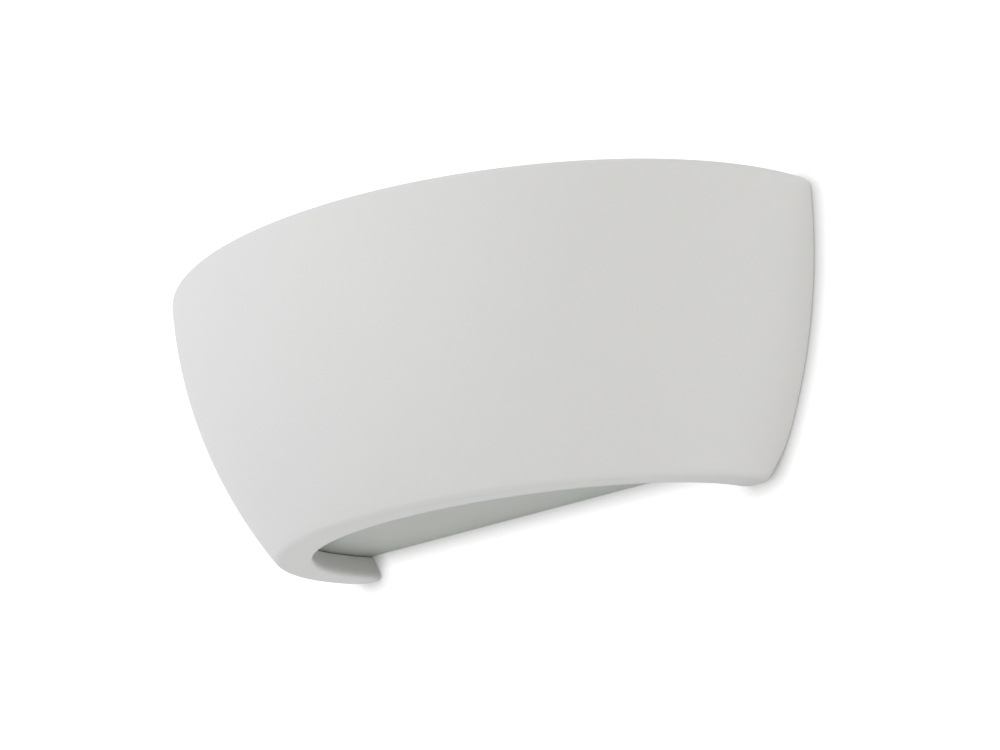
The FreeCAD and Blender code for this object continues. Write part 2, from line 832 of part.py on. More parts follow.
def earth_ring():
    """Crimp ring on the stud, with the barrel that takes the lead."""
    back, front = earth_layer(ring_back, ring_thickness)
    start = V(barrel_x, barrel_y, earth_z)
    end = V(earth_x - ring_radius + 1.0, barrel_y, earth_z)
    hole_start, hole_end = earth_layer(ring_back - 1, ring_thickness + 2)
    tongue = Part.makeBox(ring_radius + 1, ring_thickness, barrel_radius * 2,
                          V(earth_x - ring_radius - 1, front.y, earth_z - barrel_radius))
    ring = fuse_all([rod(ring_radius, back, front), rod(barrel_radius, start, end), tongue])
    nut_room = rod(nut_across_flats / math.sqrt(3) + part_clearance, *earth_layer(nut_back, nut_height * 2))
    bore = rod(lead_radius + part_clearance, start - V(1, 0, 0), start + V(lead_strip_length, 0, 0))
    return cut_all(ring, [rod(stud_radius + part_clearance, hole_start, hole_end), bore, nut_room])


def earth_nut():
    corner = nut_across_flats / math.sqrt(3)
    points = []
    for index in range(6):
        angle = math.radians(60 * index + 30)
        points.append((earth_x + corner * math.cos(angle), earth_z + corner * math.sin(angle)))
    nut = prism(points, 0, "XZ", -nut_back - nut_height, -nut_back)
    start, end = earth_layer(nut_back - 1, nut_height + 2)
    return nut.cut(rod(stud_radius + rivet_hole_clearance, start, end))


# ---- Internal leads ----

wire_end_z = block_top_z - lead_strip_length
behind_reflector_y = lamp_y + reflector_half_width + lead_behind_reflector
lead_live_route = [
    (block_way_x[0], wire_y, wire_end_z),
    (block_way_x[0], wire_y, 3.0),
    (block_way_x[0] - 2.0, wire_y - 10.0, lamp_z),
    (block_way_x[0] - 6.0, lamp_y + 30.0, lamp_z + 1.0),
    (-holder_inner_x - lead_u(-1), lamp_y + 17.0, lamp_z),
    (-holder_inner_x - lead_u(-1), lamp_y + contact_tail_radius + part_clearance, lamp_z),
]
lead_neutral_route = [
    (block_way_x[2], wire_y, wire_end_z),
    (block_way_x[2], wire_y, 3.0),
    (block_way_x[2] + 5.0, wire_y - 10.0, lamp_z - 3.0),
    (-14.0, behind_reflector_y, 5.0),
    (16.0, behind_reflector_y + 0.5, 2.5),
    (45.0, behind_reflector_y, 4.0),
    (67.0, behind_reflector_y - 4.0, 7.5),
    (holder_inner_x + lead_u(1), lamp_y + 17.0, lamp_z),
    (holder_inner_x + lead_u(1), lamp_y + chamber_radius + part_clearance, lamp_z),
]
lead_earth_route = [
    (block_way_x[1], wire_y, wire_end_z),
    (block_way_x[1], wire_y, 6.0),
    (block_way_x[1] + 8.0, wire_y - 1.0, 15.0),
    (-25.0, wire_y - 1.5, 17.5),
    (-6.0, wire_y - 1.0, 14.0),
    (5.0, barrel_y - 1.5, 7.5),
    (barrel_x - 7.0, barrel_y, earth_z),
    (barrel_x + lead_strip_length - part_clearance, barrel_y, earth_z),
]


def lead(name, route):
    """A round tube on straight runs joined by the largest tangent arcs that they allow."""
    spots = [V(*point) for point in route]
    edges = []
    start = spots[0]
    radii = []
    length = 0.0
    for before, corner, after in zip(spots, spots[1:], spots[2:]):
        towards = (before - corner).normalize()
        away = (after - corner).normalize()
        turn = math.pi - towards.getAngle(away)
        reach = 0.45 * min((before - corner).Length, (after - corner).Length)
        radius = reach / math.tan(turn / 2)
        radii.append(round(radius, 1))
        arc_start = corner + towards * reach
        arc_end = corner + away * reach
        middle = corner + (towards + away).normalize() * (radius / math.cos(turn / 2) - radius)
        edges.append(Part.LineSegment(start, arc_start).toShape())
        edges.append(Part.Arc(arc_start, middle, arc_end).toShape())
        length += (arc_start - start).Length + radius * turn
        start = arc_end
    edges.append(Part.LineSegment(start, spots[-1]).toShape())
    length += (spots[-1] - start).Length
    section = Part.Wire(Part.makeCircle(lead_radius, spots[0], spots[1] - spots[0]))
    tube = Part.Wire(edges).makePipeShell([section], True, False)
    share = tube.Volume / (math.pi * lead_radius ** 2 * length)
    print(name, "bend radii", radii, "length", round(length, 1), "volume share", round(share, 4))
    return tube


def build():
    os.makedirs("parts", exist_ok=True)
    hanger_right = hanger()
    hanger_left = mirrored(hanger_right)
    shell = cut_all(shell_body(), [hanger_right, hanger_left])
    pieces = {
        "plaster_shell": shell,
        "hanger_right": hanger_right,
        "hanger_left": hanger_left,
        "pane_pads": pane_pads(),
        "glass_pane": glass_pane(),
        "wall_plate": wall_plate(),
        "lamp_cradle": lamp_cradle(),
        "cradle_rivets": cradle_rivets(),
        "reflector": reflector(),
        "reflector_rivets": reflector_rivets(),
        "holder_left": holder(-1, fixed_socket_depth),
        "holder_right": holder(1, sprung_socket_depth),
        "holder_screws": holder_screws(),
        "fixed_contact": fixed_contact(),
        "contact_plunger": contact_plunger(),
        "contact_spring": contact_spring(),
        "spring_seat": spring_seat(),
        "insulating_discs": insulating_discs(),
        "lamp_tube": lamp_tube(),
        "lamp_cap_left": lamp_cap(-1),
        "lamp_cap_right": lamp_cap(1),
        "lamp_contacts": lamp_contacts(),
        "lamp_filament": lamp_filament(),
        "terminal_block": terminal_block(),
        "terminal_tubes": terminal_tubes(),
        "terminal_screws": terminal_screws(),
        "block_screws": block_screws(),
        "cable_grommet": cable_grommet(),
        "earth_stud": earth_stud(),
        "earth_ring": earth_ring(),
        "earth_nut": earth_nut(),
        "lead_live": lead("lead_live", lead_live_route),
        "lead_neutral": lead("lead_neutral", lead_neutral_route),
        "lead_earth": lead("lead_earth", lead_earth_route),
    }
    for node, shape in pieces.items():
        write(shape, node)


build()
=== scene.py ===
"""Plaster uplighter wall sconce: the finish of every piece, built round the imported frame. Metres, +Z up."""

import bmesh
import bpy
import math
from mathutils import Matrix, Vector


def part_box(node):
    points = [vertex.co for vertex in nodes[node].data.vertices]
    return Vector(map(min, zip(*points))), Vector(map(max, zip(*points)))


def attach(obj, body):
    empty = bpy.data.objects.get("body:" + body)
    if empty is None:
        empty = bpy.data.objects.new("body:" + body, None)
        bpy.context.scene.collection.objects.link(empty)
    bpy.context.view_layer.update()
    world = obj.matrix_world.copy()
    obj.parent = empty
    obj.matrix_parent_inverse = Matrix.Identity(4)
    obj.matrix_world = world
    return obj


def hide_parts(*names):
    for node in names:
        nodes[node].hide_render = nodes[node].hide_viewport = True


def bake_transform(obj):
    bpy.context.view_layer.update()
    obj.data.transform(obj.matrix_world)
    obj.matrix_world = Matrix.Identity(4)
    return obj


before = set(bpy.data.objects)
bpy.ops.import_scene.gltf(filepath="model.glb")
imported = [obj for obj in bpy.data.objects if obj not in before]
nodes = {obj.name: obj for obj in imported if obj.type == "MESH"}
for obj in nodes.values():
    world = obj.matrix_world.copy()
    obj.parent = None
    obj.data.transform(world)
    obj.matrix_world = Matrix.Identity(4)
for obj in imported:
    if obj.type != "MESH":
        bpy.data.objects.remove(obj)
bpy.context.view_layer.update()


# ---------------------------------------------------------------------------------------------------
# Wall plate. A strip of zinc-plated steel, pressed from 1.5 mm sheet and stepped forward at both ends,
# where a tongue stands up for the shell to hang on. Two screws through its slots hold it to the wall.
# ---------------------------------------------------------------------------------------------------

SOCKET = {"colour": "NodeSocketColor", "value": "NodeSocketFloat", "vector": "NodeSocketVector"}
COLOUR_MIX_INPUTS = (0, 6, 7)
COLOUR_MIX_OUTPUT = 2
NOISE_MEAN = 0.5
WORN_FROM = 0.52
WORN_FULLY = 0.6
GRAIN_STRENGTH = 0.6
LINE_STRENGTH = 0.5
LINE_COLOUR = (0.3, 0.3, 0.31, 1)


def effect(name, inputs, outputs):
    """An empty shader node group with named inputs and outputs, and its two end nodes."""
    group = bpy.data.node_groups.new(name, "ShaderNodeTree")
    for label, kind, default in inputs:
        socket = group.interface.new_socket(name=label, in_out="INPUT", socket_type=SOCKET[kind])
        socket.default_value = default
    for label, kind in outputs:
        group.interface.new_socket(name=label, in_out="OUTPUT", socket_type=SOCKET[kind])
    return group, group.nodes.new("NodeGroupInput"), group.nodes.new("NodeGroupOutput")


def noise(tree, vector, scale, detail):
    """A noise texture read at a vector, with its scale from a socket or a number."""
    node = tree.nodes.new("ShaderNodeTexNoise")
    node.inputs["Detail"].default_value = detail
    tree.links.new(vector, node.inputs["Vector"])
    if isinstance(scale, float):
        node.inputs["Scale"].default_value = scale
    else:
        tree.links.new(scale, node.inputs["Scale"])
    return node.outputs["Fac"]


def maths(tree, operation, first, second):
    """A maths node, each side a socket or a number."""
    node = tree.nodes.new("ShaderNodeMath")
    node.operation = operation
    for index, side in enumerate((first, second)):
        if isinstance(side, (int, float)):
            node.inputs[index].default_value = side
        else:
            tree.links.new(side, node.inputs[index])
    return node.outputs[0]


def mixed(tree, share, first, second):
    """Two colours mixed by a share."""
    node = tree.nodes.new("ShaderNodeMix")
    node.data_type = "RGBA"
    for index, side in zip(COLOUR_MIX_INPUTS, (share, first, second)):
        if isinstance(side, (int, float, tuple)):
            node.inputs[index].default_value = side
        else:
            tree.links.new(side, node.inputs[index])
    return node.outputs[COLOUR_MIX_OUTPUT]


def make_mottle():
    """Slow blotches in colour and roughness, with a fine grain in height."""
    group, start, end = effect(
        "mottle",
        [("Colour", "colour", (0.8, 0.8, 0.8, 1)), ("Blotch Colour", "colour", (0.7, 0.7, 0.7, 1)),
         ("Blotch Scale", "value", 20.0), ("Blotch Share", "value", 0.3), ("Roughness", "value", 0.5),
         ("Roughness Spread", "value", 0.1), ("Grain Scale", "value", 900.0)],
        [("Colour", "colour"), ("Roughness", "value"), ("Height", "value")])
    place = group.nodes.new("ShaderNodeTexCoord").outputs["Object"]
    blotch = noise(group, place, start.outputs["Blotch Scale"], detail=3.0)
    swing = maths(group, "SUBTRACT", blotch, NOISE_MEAN)
    share = maths(group, "MULTIPLY", blotch, start.outputs["Blotch Share"])
    group.links.new(mixed(group, share, start.outputs["Colour"], start.outputs["Blotch Colour"]),
                    end.inputs["Colour"])
    spread = maths(group, "MULTIPLY", swing, start.outputs["Roughness Spread"])
    group.links.new(maths(group, "ADD", start.outputs["Roughness"], spread), end.inputs["Roughness"])
    group.links.new(noise(group, place, start.outputs["Grain Scale"], detail=4.0), end.inputs["Height"])
    return group


def make_edge_wear():
    """A mask that is strong on sharp outer edges, broken up by noise."""
    group, start, end = effect("edge_wear", [("Amount", "value", 0.5), ("Scale", "value", 300.0)],
                               [("Mask", "value")])
    point = group.nodes.new("ShaderNodeNewGeometry").outputs["Pointiness"]
    ramp = group.nodes.new("ShaderNodeMapRange")
    ramp.inputs["From Min"].default_value = WORN_FROM
    ramp.inputs["From Max"].default_value = WORN_FULLY
    group.links.new(point, ramp.inputs["Value"])
    place = group.nodes.new("ShaderNodeTexCoord").outputs["Object"]
    broken = noise(group, place, start.outputs["Scale"], detail=5.0)
    mask = maths(group, "MULTIPLY", ramp.outputs["Result"], broken)
    scaled = maths(group, "MULTIPLY", mask, start.outputs["Amount"])
    group.links.new(scaled, end.inputs["Mask"])
    return group


def make_drawn_lines():
    """Fine parallel lines, as rolling or brushing leaves on sheet metal."""
    group, start, end = effect("drawn_lines", [("Stretch", "vector", (1.0, 1.0, 1.0))],
                               [("Line", "value")])
    place = group.nodes.new("ShaderNodeTexCoord").outputs["Object"]
    stretched = group.nodes.new("ShaderNodeVectorMath")
    stretched.operation = "MULTIPLY"
    group.links.new(place, stretched.inputs[0])
    group.links.new(start.outputs["Stretch"], stretched.inputs[1])
    group.links.new(noise(group, stretched.outputs[0], 1.0, detail=3.0), end.inputs["Line"])
    return group


mottle = make_mottle()
edge_wear = make_edge_wear()
drawn_lines = make_drawn_lines()


def placed(tree, group, **values):
    """A node group placed in a material, with its own values."""
    node = tree.nodes.new("ShaderNodeGroup")
    node.node_tree = group
    for label, value in values.items():
        node.inputs[label.replace("_", " ")].default_value = value
    return node


def bump(tree, height, distance, strength, shader, under=None):
    """A bump from a height socket, over another bump if one is given."""
    node = tree.nodes.new("ShaderNodeBump")
    node.inputs["Distance"].default_value = distance
    node.inputs["Strength"].default_value = strength
    tree.links.new(height, node.inputs["Height"])
    if under is not None:
        tree.links.new(under, node.inputs["Normal"])
    tree.links.new(node.outputs["Normal"], shader.inputs["Normal"])


def finish_of(name, colour, blotch, roughness, spread=0.1, blotch_scale=40.0, blotch_share=0.5,
              grain_scale=1500.0, grain_depth=0.00003, worn=None, wear=0.0, **constants):
    """A material: mottled colour and roughness, a grain bump, and a second colour on worn edges."""
    material = bpy.data.materials.new(name)
    material.use_nodes = True
    tree = material.node_tree
    shader = tree.nodes["Principled BSDF"]
    look = placed(tree, mottle, Colour=(*colour, 1), Blotch_Colour=(*blotch, 1), Blotch_Scale=blotch_scale,
                  Blotch_Share=blotch_share, Roughness=roughness, Roughness_Spread=spread,
                  Grain_Scale=grain_scale)
    shade = look.outputs["Colour"]
    if worn is not None:
        mask = placed(tree, edge_wear, Amount=wear)
        shade = mixed(tree, mask.outputs["Mask"], shade, (*worn, 1))
    tree.links.new(shade, shader.inputs["Base Color"])
    tree.links.new(look.outputs["Roughness"], shader.inputs["Roughness"])
    bump(tree, look.outputs["Height"], grain_depth, GRAIN_STRENGTH, shader)
    for label, value in constants.items():
        shader.inputs[label.replace("_", " ")].default_value = value
    return material


def line_finish(material, stretch, depth, share=0.12):
    """Adds drawn lines to a metal's colour and bump."""
    tree = material.node_tree
    shader = tree.nodes["Principled BSDF"]
    lines = placed(tree, drawn_lines, Stretch=stretch)
    shade = shader.inputs["Base Color"].links[0].from_socket
    under = shader.inputs["Normal"].links[0].from_socket
    amount = maths(tree, "MULTIPLY", lines.outputs["Line"], share / NOISE_MEAN)
    tree.links.new(mixed(tree, amount, shade, LINE_COLOUR), shader.inputs["Base Color"])
    bump(tree, lines.outputs["Line"], depth, LINE_STRENGTH, shader, under)
    return material


def dress(names, material, smooth_degrees=35.0, bevel=0.0):
    """Gives CAD nodes a material and smooth shading, and breaks their sharp edges."""
    for name in names:
        piece = nodes[name]
        piece.data.materials.clear()
        piece.data.materials.append(material)
        piece.data.shade_smooth()
        if bevel:
            rounding = piece.modifiers.new("broken_edges", "BEVEL")
            rounding.width = bevel
            rounding.segments = 2
            rounding.limit_method = "ANGLE"
            rounding.angle_limit = math.radians(smooth_degrees)
            rounding.harden_normals = True
        else:
            piece.data.set_sharp_from_angle(angle=math.radians(smooth_degrees))


zinc = line_finish(
    finish_of("zinc_plated_steel", (0.52, 0.53, 0.54), (0.36, 0.37, 0.4), 0.36, spread=0.22,
              blotch_scale=90.0, blotch_share=0.6, worn=(0.72, 0.72, 0.72), wear=0.7, Metallic=0.95),
    stretch=(120.0, 1500.0, 2600.0), depth=0.00002)
dress(["wall_plate"], zinc)


# ---------------------------------------------------------------------------------------------------
# Cable grommet. A black rubber bush pushed into the cable hole, so that the sheet's edge can't cut the
# mains cable. Its flange lies on the room side of the plate.
# ---------------------------------------------------------------------------------------------------

rubber = finish_of("grommet_rubber", (0.022, 0.022, 0.023), (0.05, 0.05, 0.052), 0.62, blotch_scale=260.0,
                   grain_scale=3200.0, grain_depth=0.00004, worn=(0.09, 0.09, 0.09), wear=0.5)
dress(["cable_grommet"], rubber)


# ---------------------------------------------------------------------------------------------------
# Lamp cradle. Bent 1.5 mm steel, powder-coated white: a strip with an upright cheek at each end, and an
# arm back to a flange that two aluminium rivets hold to the wall plate.
# ---------------------------------------------------------------------------------------------------

powder_coat = finish_of("white_powder_coat", (0.78, 0.78, 0.76), (0.7, 0.7, 0.67), 0.42, blotch_scale=60.0,
                        blotch_share=0.4, grain_scale=2200.0, grain_depth=0.00006,
                        worn=(0.45, 0.44, 0.42), wear=0.5)
dress(["lamp_cradle"], powder_coat)

rivet_metal = finish_of("rivet_aluminium", (0.68, 0.68, 0.69), (0.5, 0.5, 0.52), 0.34, blotch_scale=400.0,
                        grain_scale=4000.0, Metallic=1.0)
dress(["cradle_rivets", "reflector_rivets", "lamp_contacts"], rivet_metal)


# ---------------------------------------------------------------------------------------------------
# Reflector. A trough of bright rolled aluminium, 0.8 mm, riveted to the cradle. A slot in its floor
# lets some light down to the pane.
# ---------------------------------------------------------------------------------------------------

bright_aluminium = line_finish(
    finish_of("bright_aluminium", (0.86, 0.86, 0.87), (0.76, 0.76, 0.78), 0.2, spread=0.14, blotch_scale=30.0,
              Metallic=1.0),
    stretch=(60.0, 2200.0, 2200.0), depth=0.00001, share=0.05)
dress(["reflector"], bright_aluminium)


# ---------------------------------------------------------------------------------------------------
# Lampholders. Pressed steatite blocks screwed to the cheeks. The left one holds a fixed brass contact,
# and the right one a sprung contact, whose spring bears on a brass seat. Mica discs close both. The
# spring's coil is bent between the holder and the contact.
# ---------------------------------------------------------------------------------------------------

steatite = finish_of("glazed_steatite", (0.83, 0.8, 0.72), (0.72, 0.68, 0.58), 0.3, blotch_scale=140.0,
                     blotch_share=0.5, grain_scale=2600.0, grain_depth=0.00004, Coat_Weight=0.3)
dress(["holder_left", "holder_right"], steatite)

brass = finish_of("contact_brass", (0.72, 0.52, 0.2), (0.5, 0.34, 0.12), 0.3, spread=0.2, blotch_scale=350.0,
                  worn=(0.85, 0.7, 0.4), wear=0.5, Metallic=1.0)
dress(["fixed_contact", "contact_plunger", "spring_seat"], brass)

spring_wire = finish_of("spring_wire", (0.46, 0.46, 0.48), (0.3, 0.3, 0.32), 0.28, blotch_scale=500.0,
                        Metallic=1.0)
spring_low, spring_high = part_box("contact_spring")
spring_axis = (spring_low + spring_high) / 2
SPRING_WIRE = 0.0003
SPRING_TURNS = 4.5
SPRING_STEPS = 24
SPRING_END_TURN = 0.5


def wire_through(name, points, radius, material):
    """A round wire along points, as a curve turned into a mesh."""
    curve = bpy.data.curves.new(name, "CURVE")
    curve.dimensions = "3D"
    curve.bevel_depth = radius
    curve.bevel_resolution = 2
    spline = curve.splines.new("POLY")
    spline.points.add(len(points) - 1)
    for spot, point in zip(spline.points, points):
        spot.co = (*point, 1)
    maker = bpy.data.objects.new(name, curve)
    bpy.context.scene.collection.objects.link(maker)
    bpy.context.view_layer.update()
    mesh = bpy.data.meshes.new_from_object(maker.evaluated_get(bpy.context.evaluated_depsgraph_get()))
    bpy.data.objects.remove(maker)
    mesh.materials.clear()
    mesh.materials.append(material)
    mesh.shade_smooth()
    piece = bpy.data.objects.new(name, mesh)
    bpy.context.scene.collection.objects.link(piece)
    return piece


def spring_points():
    """A helix along X whose end turns lie nearly flat."""
    radius = (spring_high.y - spring_low.y) / 2 - SPRING_WIRE
    length = spring_high.x - spring_low.x - 2 * SPRING_WIRE
    open_turns = SPRING_TURNS - 2 * SPRING_END_TURN
    points = []
    for step in range(int(SPRING_TURNS * SPRING_STEPS) + 1):
        turn = step / SPRING_STEPS
        along = min(max((turn - SPRING_END_TURN) / open_turns, 0.0), 1.0)
        angle = 2 * math.pi * turn
        points.append(Vector((spring_low.x + SPRING_WIRE + length * along,
                              spring_axis.y + radius * math.cos(angle),
                              spring_axis.z + radius * math.sin(angle))))
    return points


spring = wire_through("spring_coil", spring_points(), SPRING_WIRE, spring_wire)
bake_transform(spring)
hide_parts("contact_spring")

mica = finish_of("mica", (0.5, 0.38, 0.22), (0.64, 0.54, 0.38), 0.36, blotch_scale=420.0, blotch_share=0.8)
dress(["insulating_discs"], mica)

plated_screw = finish_of("plated_screw", (0.56, 0.56, 0.57), (0.42, 0.42, 0.44), 0.3, spread=0.2,
                         blotch_scale=300.0, worn=(0.75, 0.75, 0.75), wear=0.6, Metallic=1.0)
dress(["holder_screws"], plated_screw)


# ---------------------------------------------------------------------------------------------------
# Linear lamp. A slim quartz tube pinched at both ends into ceramic caps, with a coiled tungsten wire
# down its middle on small supports.
# ---------------------------------------------------------------------------------------------------


def clear_quartz():
    material = bpy.data.materials.new("clear_quartz")
    material.use_nodes = True
    tree = material.node_tree
    shader = tree.nodes["Principled BSDF"]
    look = placed(tree, mottle, Colour=(0.97, 0.98, 0.99, 1), Blotch_Colour=(0.9, 0.93, 0.95, 1),
                  Blotch_Scale=120.0, Blotch_Share=0.3, Roughness=0.04, Roughness_Spread=0.03)
    tree.links.new(look.outputs["Colour"], shader.inputs["Base Color"])
    tree.links.new(look.outputs["Roughness"], shader.inputs["Roughness"])
    shader.inputs["Transmission Weight"].default_value = 1.0
    shader.inputs["IOR"].default_value = 1.46
    return material


dress(["lamp_tube"], clear_quartz(), smooth_degrees=50.0)

cap_ceramic = finish_of("cap_ceramic", (0.8, 0.79, 0.75), (0.68, 0.66, 0.6), 0.6, blotch_scale=300.0,
                        grain_scale=3600.0, grain_depth=0.00006)
dress(["lamp_cap_left", "lamp_cap_right"], cap_ceramic)

tungsten = finish_of("tungsten_wire", (0.3, 0.3, 0.31), (0.18, 0.18, 0.19), 0.4, blotch_scale=900.0,
                     Metallic=1.0)
filament_low, filament_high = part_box("lamp_filament")
filament_axis = (filament_low + filament_high) / 2
COIL_RADIUS = 0.0006
COIL_WIRE = 0.00014
COIL_TURNS = 70
COIL_STEPS = 12
COIL_TAIL_SHARE = 0.04
SUPPORT_RADIUS = 0.0039
SUPPORT_TURNS = 1.5
SUPPORT_STEPS = 36
SUPPORT_LEAD = 0.0002
SUPPORT_SPOTS = 5


def coil_points():
    """The coiled wire: straight tails at both ends, and a helix between them."""
    length = filament_high.x - filament_low.x
    tail = length * COIL_TAIL_SHARE
    rise = length - 2 * tail
    points = [Vector((filament_low.x, filament_axis.y, filament_axis.z))]
    count = COIL_TURNS * COIL_STEPS
    for step in range(count + 1):
        angle = 2 * math.pi * step / COIL_STEPS
        points.append(Vector((filament_low.x + tail + rise * step / count,
                              filament_axis.y + COIL_RADIUS * math.cos(angle),
                              filament_axis.z + COIL_RADIUS * math.sin(angle))))
    points.append(Vector((filament_high.x, filament_axis.y, filament_axis.z)))
    return points


def support_points(x):
    """A wire support: a spiral from the coil out to the tube's wall."""
    points = []
    for step in range(SUPPORT_STEPS + 1):
        angle = 2 * math.pi * SUPPORT_TURNS * step / SUPPORT_STEPS
        radius = COIL_RADIUS + (SUPPORT_RADIUS - COIL_RADIUS) * min(1.0, 2 * step / SUPPORT_STEPS)
        points.append(Vector((x + SUPPORT_LEAD * step / SUPPORT_STEPS,
                              filament_axis.y + radius * math.cos(angle),
                              filament_axis.z + radius * math.sin(angle))))
    return points


filament = wire_through("filament_coil", coil_points(), COIL_WIRE, tungsten)
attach(filament, "lamp")
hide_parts("lamp_filament")
for index in range(SUPPORT_SPOTS):
    share = (index + 0.5) / SUPPORT_SPOTS
    spot_x = filament_low.x + (filament_high.x - filament_low.x) * share
    support = wire_through("filament_support_" + str(index + 1), support_points(spot_x), COIL_WIRE, tungsten)
    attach(support, "lamp")


# ---------------------------------------------------------------------------------------------------
# Mains connector. A moulded three-way block on two small screws. Each way is a brass tube with two
# clamp screws: the upper ones hold the lamp's leads, and the lower ones wait for the mains cable.
# ---------------------------------------------------------------------------------------------------

connector_plastic = finish_of("connector_plastic", (0.78, 0.78, 0.73), (0.7, 0.7, 0.63), 0.45,
                              blotch_scale=160.0, grain_scale=2400.0, grain_depth=0.00003,
                              Subsurface_Weight=0.15, Subsurface_Radius=(0.002, 0.002, 0.0015))
dress(["terminal_block"], connector_plastic)
dress(["terminal_tubes"], brass)
dress(["terminal_screws", "block_screws"], plated_screw)


# ---------------------------------------------------------------------------------------------------
# Earth point. A brass stud pressed into the wall plate, with a crimped ring under a hexagon nut.
# ---------------------------------------------------------------------------------------------------

dress(["earth_stud", "earth_nut"], brass)
dress(["earth_ring"], plated_screw)


# ---------------------------------------------------------------------------------------------------
# Internal leads. Stranded wire in heat-proof silicone sleeving: brown to the left holder, blue to the
# right one, and green and yellow to the earth stud.
# ---------------------------------------------------------------------------------------------------


def sleeve(name, colour, blotch):
    return finish_of(name, colour, blotch, 0.5, blotch_scale=180.0, blotch_share=0.4, grain_scale=2600.0,
                     grain_depth=0.00003)


dress(["lead_live"], sleeve("brown_sleeve", (0.1, 0.042, 0.02), (0.07, 0.03, 0.014)), smooth_degrees=60.0)
dress(["lead_neutral"], sleeve("blue_sleeve", (0.02, 0.1, 0.36), (0.015, 0.07, 0.28)), smooth_degrees=60.0)


def striped_sleeve():
    """Green and yellow bands that run along the lead."""
    material = sleeve("green_yellow_sleeve", (0.05, 0.3, 0.04), (0.04, 0.24, 0.03))
    tree = material.node_tree
    shader = tree.nodes["Principled BSDF"]
    green = shader.inputs["Base Color"].links[0].from_socket
    place = tree.nodes.new("ShaderNodeNewGeometry")
    apart = tree.nodes.new("ShaderNodeSeparateXYZ")
    tree.links.new(place.outputs["Normal"], apart.inputs[0])
    side = maths(tree, "LESS_THAN", maths(tree, "MULTIPLY", apart.outputs["Z"], apart.outputs["Y"]), 0.0)
    tree.links.new(mixed(tree, side, green, (0.82, 0.62, 0.02, 1)), shader.inputs["Base Color"])
    return material


dress(["lead_earth"], striped_sleeve(), smooth_degrees=60.0)


# ---------------------------------------------------------------------------------------------------
# Plaster shell. Fine casting plaster poured in one piece, half-oval in plan and swept out to the rim,
# with a ledge inside for the pane. It is sanded smooth and left matt white.
# ---------------------------------------------------------------------------------------------------

SHELL_LOW, SHELL_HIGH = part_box("plaster_shell")
SHELL_WIDTH = SHELL_HIGH.x - SHELL_LOW.x
SHELL_DEPTH = SHELL_HIGH.y - SHELL_LOW.y
SHELL_HEIGHT = SHELL_HIGH.z - SHELL_LOW.z
SIDE_ARC = 0.213
FRONT_ARC = 0.178
SIDE_RETURN = 0.009
BASE_WALL = 0.0168
UPPER_WALL = 0.012
BASE_ROUND = 0.002
RIM_ROUND = 0.003
INNER_ROUND = 0.0012
BASE_INNER_ROUND = 0.0036
END_ROUND = 0.0012
END_ROUND_AT_FOOT = {"outside": 0.0085, "inside": 0.005}
FOOT_REACH = {"outside": 0.018, "inside": 0.007}
RIM_END_ROUND = 0.004
BASE_END_ROUND = 0.0012
LEDGE_HEIGHT = 0.0111
ARC_STEPS = 8
WALL_STEPS = 40
LIP_STEPS = 10
PLAN_STEPS = 180
END_STEPS = 16
CREASE_DEGREES = 50
SWELL_SCALE = 26.0
SWELL_DEPTH = 0.0004
SWELL_STRENGTH = 0.35


def arc_drop(radius, below_rim):
    return radius - math.sqrt(radius * radius - below_rim * below_rim)


def plan_point(along, height, inset):
    """A point of the plan's half-oval: along 0 is its right end and 1 its left one."""
    below = SHELL_HEIGHT - height
    half_width = SHELL_WIDTH / 2 - arc_drop(SIDE_ARC, below) - inset
    depth = SHELL_DEPTH - arc_drop(FRONT_ARC, below) - inset
    angle = math.pi * along
    y = -SIDE_RETURN - (depth - SIDE_RETURN) * max(math.sin(angle), 0.0)
    return Vector((half_width * math.cos(angle), y, SHELL_LOW.z + height))


def quarter(height, inset, radius, start_degrees):
    """A quarter round about a centre in (height, inset)."""
    points = []
    for step in range(ARC_STEPS + 1):
        angle = math.radians(start_degrees + 90 * step / ARC_STEPS)
        points.append((height + radius * math.sin(angle), inset - radius * math.cos(angle)))
    return points


def shell_section():
    """The wall's section as (height, inset): up the outside, over the rim and down the inside."""
    section = quarter(BASE_ROUND, BASE_ROUND, BASE_ROUND, -90)
    top = SHELL_HEIGHT - RIM_ROUND
    for step in range(1, WALL_STEPS):
        section.append((BASE_ROUND + (top - BASE_ROUND) * step / WALL_STEPS, 0.0))
    section += quarter(top, RIM_ROUND, RIM_ROUND, 0)
    inner_top = SHELL_HEIGHT - INNER_ROUND
    section += quarter(inner_top, UPPER_WALL - INNER_ROUND, INNER_ROUND, 90)
    for step in range(1, WALL_STEPS + 1):
        section.append((inner_top + (LEDGE_HEIGHT - inner_top) * step / WALL_STEPS, UPPER_WALL))
    section += [(LEDGE_HEIGHT, BASE_WALL)]
    for step in range(1, LIP_STEPS):
        section.append((LEDGE_HEIGHT + (BASE_INNER_ROUND - LEDGE_HEIGHT) * step / LIP_STEPS, BASE_WALL))
    section += quarter(BASE_INNER_ROUND, BASE_WALL - BASE_INNER_ROUND, BASE_INNER_ROUND, 180)
    return section


def rounded_by(radius, out):
    """How far a round of a radius has drawn in at a distance out from the wall."""
    short = max(radius - out, 0.0)
    return radius - math.sqrt(radius ** 2 - short ** 2)


def end_radius(side, height):
    """The round of an upright back edge, which grows towards the foot."""
    share = max(0.0, 1 - height / FOOT_REACH[side]) ** 2
    return END_ROUND + (END_ROUND_AT_FOOT[side] - END_ROUND) * share


